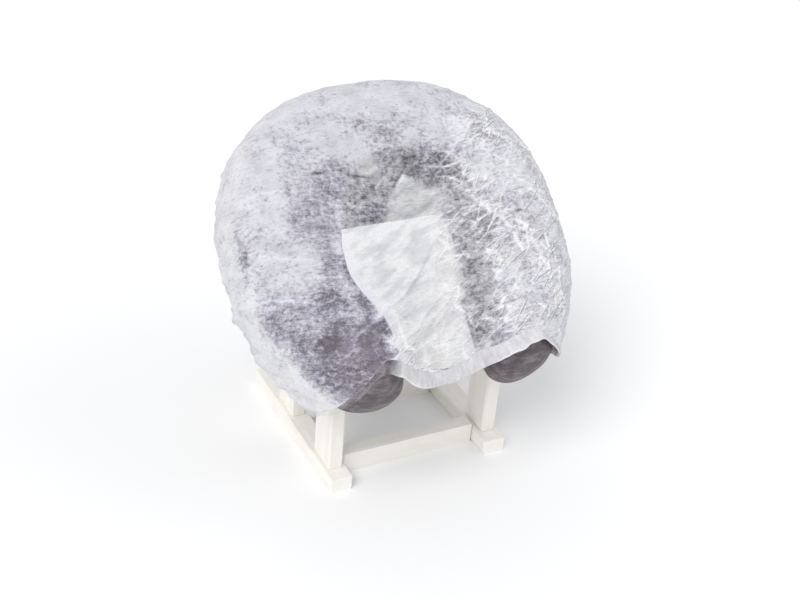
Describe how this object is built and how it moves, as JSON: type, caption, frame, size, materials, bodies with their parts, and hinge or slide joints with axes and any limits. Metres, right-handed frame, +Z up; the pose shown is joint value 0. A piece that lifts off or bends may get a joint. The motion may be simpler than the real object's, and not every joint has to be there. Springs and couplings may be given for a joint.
{
  "type": "fitted disposable headrest cover on a horseshoe headrest cushion and its plain stand",
  "caption": "Thin white nonwoven cover with an elastic hem, pulled over a horseshoe headrest cushion that rests on a low sloping wooden stand.",
  "frame": {"origin": "on the surface that the stand rests on, under the middle of the bounding box", "axes": "+Z up, -Y towards the viewer and the cushion's open end, +X to the viewer's right"},
  "size_m": [0.3092, 0.2538, 0.3145],
  "materials": {
    "cover_fabric": "thin matte white spunbond nonwoven, translucent",
    "elastic_hem": "gathered nonwoven over elastic, matte",
    "cushion_vinyl": "smooth charcoal-violet vinyl, satin",
    "plate_cloth": "dark brushed loop cloth over board",
    "stand_wood": "cream painted wood, satin"
  },
  "bodies": {
    "root": {"cover_shell": "cover_fabric", "elastic_hem": "elastic_hem", "cushion": "cushion_vinyl", "support_plate": "plate_cloth", "front_post_left": "stand_wood", "front_post_right": "stand_wood", "rear_post_left": "stand_wood", "rear_post_right": "stand_wood", "runner_left": "stand_wood", "runner_right": "stand_wood", "front_rail": "stand_wood", "rear_rail": "stand_wood"}
  },
  "joints": []
}
